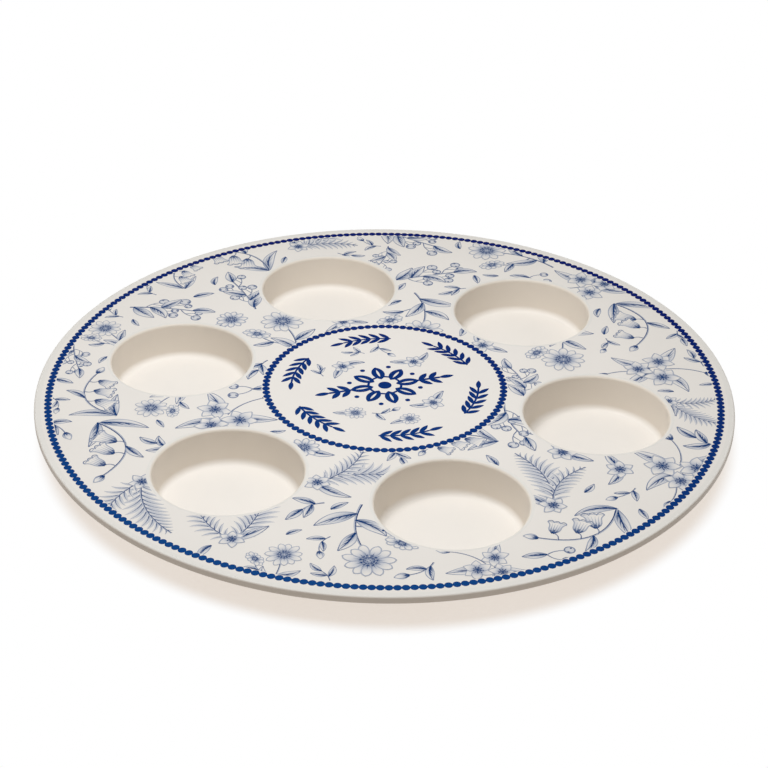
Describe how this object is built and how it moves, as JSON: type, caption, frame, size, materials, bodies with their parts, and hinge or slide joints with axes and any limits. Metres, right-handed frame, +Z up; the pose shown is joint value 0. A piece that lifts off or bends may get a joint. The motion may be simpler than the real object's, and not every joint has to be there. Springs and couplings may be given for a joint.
{
  "type": "seder plate",
  "caption": "Round off-white seder plate with a ring of round wells sunk into a flat deck that is printed in blue with bead borders, leaf sprigs and flowers.",
  "frame": {"origin": "on the table, under the middle of the plate", "axes": "+Z up out of the wells; +Y from the middle towards the first well; +X to the right of it"},
  "size_m": [0.33, 0.33, 0.0214],
  "materials": {
    "melamine": "satin moulded melamine, warm off-white",
    "decal_foil": "satin printed overlay, warm off-white",
    "blue_ink": "cobalt blue print under a satin overlay"
  },
  "bodies": {
    "root": {"plate_body": "melamine", "decal_foil": "decal_foil", "outer_bead_border": "blue_ink", "inner_bead_ring": "blue_ink", "label_sprigs": "blue_ink", "centre_rosette": "blue_ink"}
  },
  "joints": []
}
